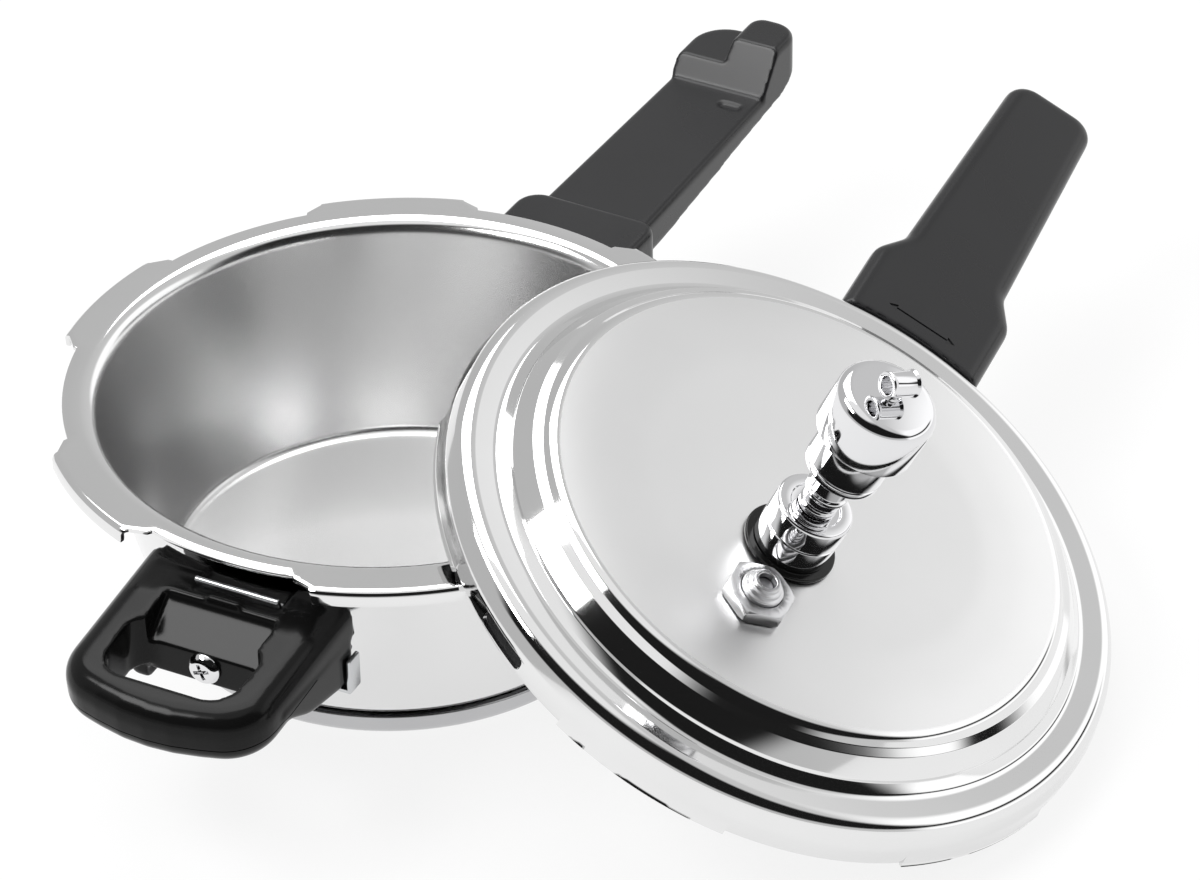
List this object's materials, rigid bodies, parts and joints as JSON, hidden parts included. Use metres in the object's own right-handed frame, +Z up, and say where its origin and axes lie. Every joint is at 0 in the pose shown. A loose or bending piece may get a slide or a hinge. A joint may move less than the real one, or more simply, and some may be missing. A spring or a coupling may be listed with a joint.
{
  "type": "pressure pan",
  "caption": "Low stainless pressure pan with a bayonet outer lid leaning on its rim, long handle, loop helper handle, lid handle, vent with lift-off weight and safety plug",
  "frame": {"origin": "centre of the pan's base where it stands on the table", "axes": "+Z up along the pan's axis, +X along the long handle, +Y completes the right-handed frame; the lid leans on the -Y side"},
  "size_m": [0.379, 0.3144, 0.1379],
  "materials": {
    "polished_steel": "mirror-polished stainless steel",
    "bracket_steel": "plain rolled stainless sheet",
    "plated_brass": "bright plated turned metal",
    "black_phenolic": "black moulded phenolic, semi-gloss",
    "black_rubber": "matt moulded rubber",
    "base_aluminium": "plain disc, hidden in the base",
    "fusible_alloy": "dull soft alloy"
  },
  "bodies": {
    "pan": {"pan_body": "polished_steel", "base_core": "base_aluminium", "base_cap": "polished_steel", "main_handle": "black_phenolic", "main_handle_bracket": "bracket_steel", "main_handle_screw": "plated_brass", "main_handle_washer": "plated_brass", "helper_handle": "black_phenolic", "helper_handle_bracket": "bracket_steel", "helper_handle_screw": "plated_brass"},
    "lid": {"lid_shell": "polished_steel", "gasket": "black_rubber", "vent_tube": "plated_brass", "vent_nut": "plated_brass", "vent_washer": "black_rubber", "vent_collar": "plated_brass", "safety_plug": "plated_brass", "safety_nut": "plated_brass", "safety_washer": "black_rubber", "fusible_insert": "fusible_alloy", "lid_handle": "black_phenolic", "lid_handle_bracket": "bracket_steel", "lid_handle_front_screw": "plated_brass", "lid_handle_rear_screw": "plated_brass"},
    "weight": {"weight_body": "plated_brass", "weight_cap": "plated_brass", "weight_pin": "plated_brass", "lift_eye": "plated_brass"}
  },
  "joints": [
    {"name": "lid_lift", "type": "slide", "parent": "pan", "child": "lid", "axis": [0.0198, -0.4536, 0.891], "range_m": [0, 0.25]},
    {"name": "weight_lift", "type": "slide", "parent": "lid", "child": "weight", "axis": [0.0198, -0.4536, 0.891], "range_m": [0, 0.03]}
  ]
}
